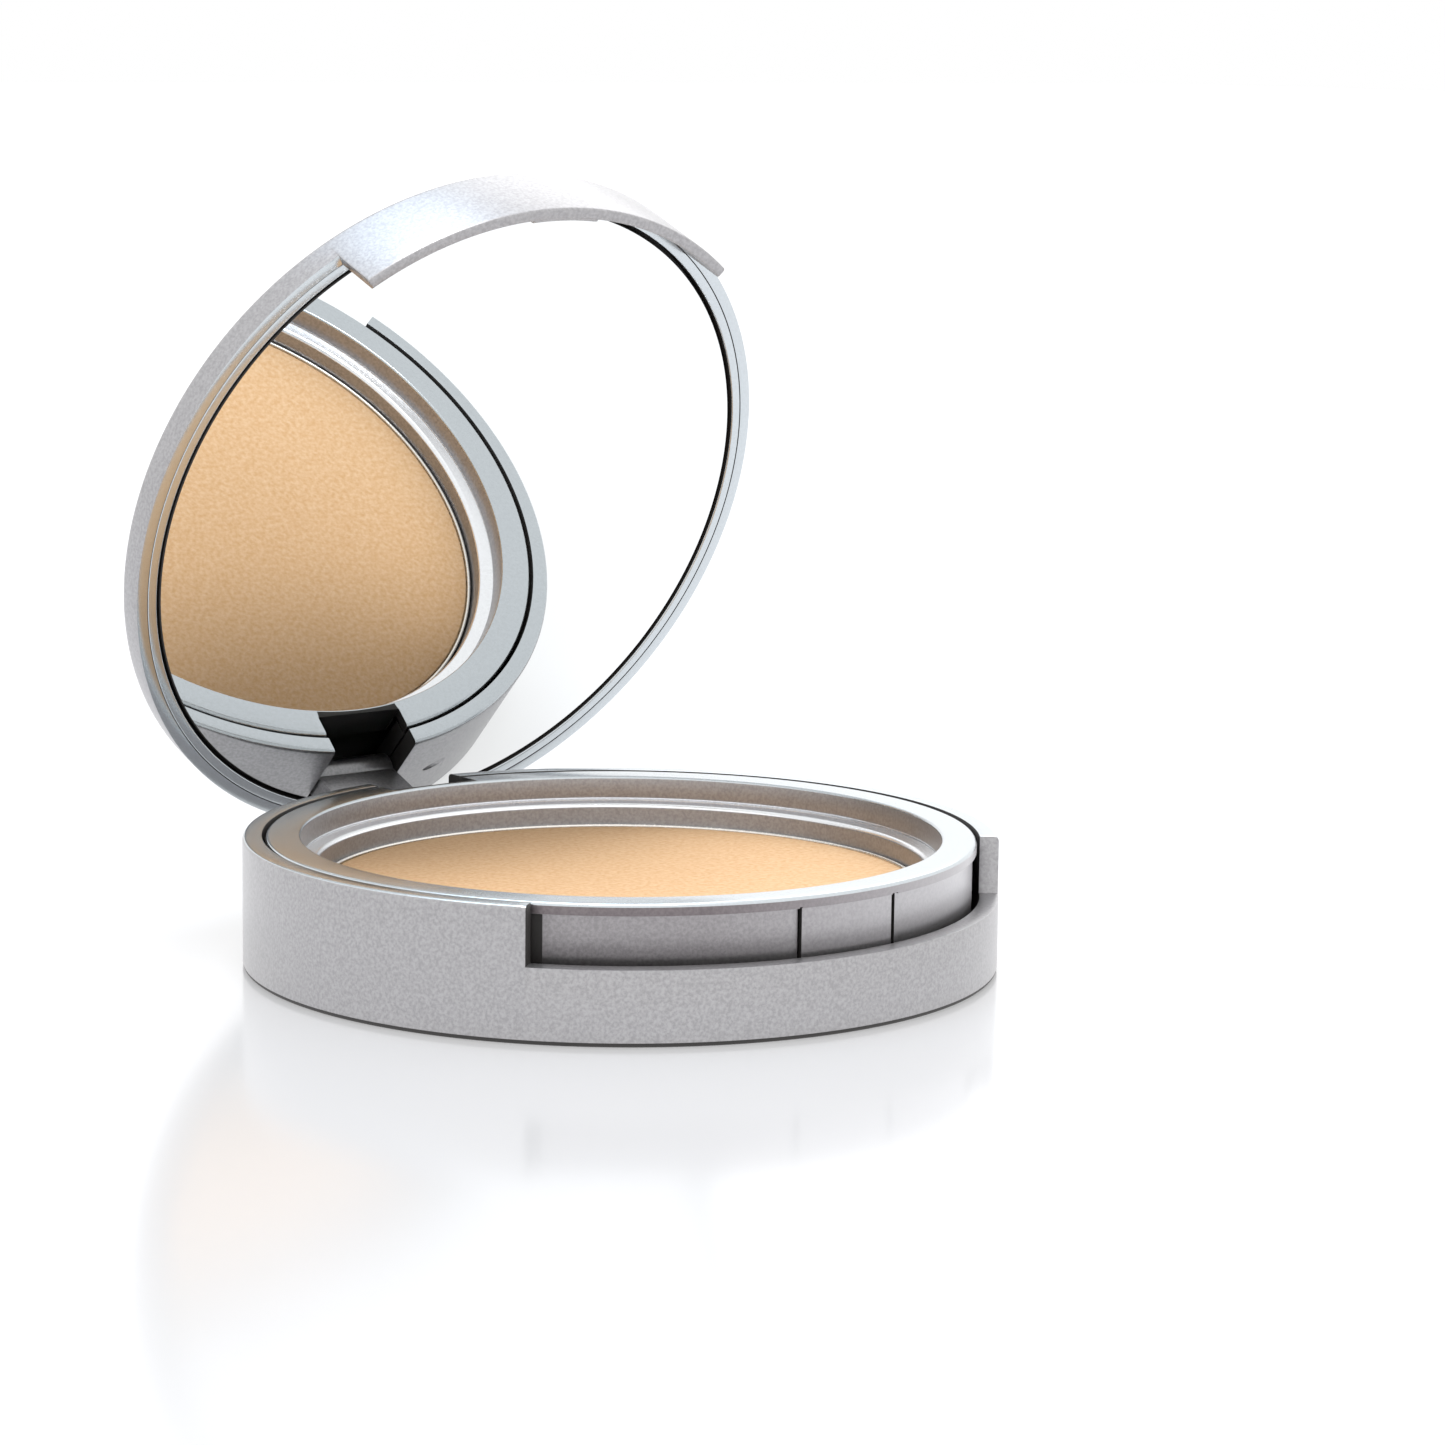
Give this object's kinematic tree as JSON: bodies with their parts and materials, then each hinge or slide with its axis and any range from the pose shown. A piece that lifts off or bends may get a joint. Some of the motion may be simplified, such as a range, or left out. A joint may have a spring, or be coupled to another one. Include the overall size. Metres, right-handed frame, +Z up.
{
  "type": "powder compact",
  "caption": "Round pressed-powder compact with a mirror inside a hinged lid that snaps over a recess at the front of the base.",
  "frame": {"origin": "centre of the underside of the base, on the surface that it stands on, on the axis of the round base", "axes": "+Z up along the axis of the base; -Y towards the front, where the lid's lip drops into the recess; +X to the right seen from the front"},
  "size_m": [0.065, 0.072, 0.067],
  "materials": {
    "case_silver": "satin silver coat on plastic",
    "insert_silver": "bright silver coat on plastic",
    "pan_metal": "pressed sheet, bright",
    "powder": "pressed powder, matt and fine-grained",
    "glue": "double-sided pad",
    "label_paper": "blank sticker, matt",
    "pin_steel": "drawn wire",
    "mirror": "silvered glass"
  },
  "bodies": {
    "base": {"base_shell": "case_silver", "pan_insert": "insert_silver", "powder_pan": "pan_metal", "pressed_powder": "powder", "pan_glue_pad": "glue", "base_label": "label_paper", "hinge_pin": "pin_steel"},
    "lid": {"lid_shell": "case_silver", "mirror_frame": "insert_silver", "mirror_glass": "mirror", "mirror_glue_pad": "glue"}
  },
  "joints": [
    {"name": "lid_hinge", "type": "hinge", "parent": "base", "child": "lid", "pos_m": [0, 0.03086, 0.0054], "axis": [-1, 0, 0], "range_deg": [-67.74, 42.26]}
  ]
}
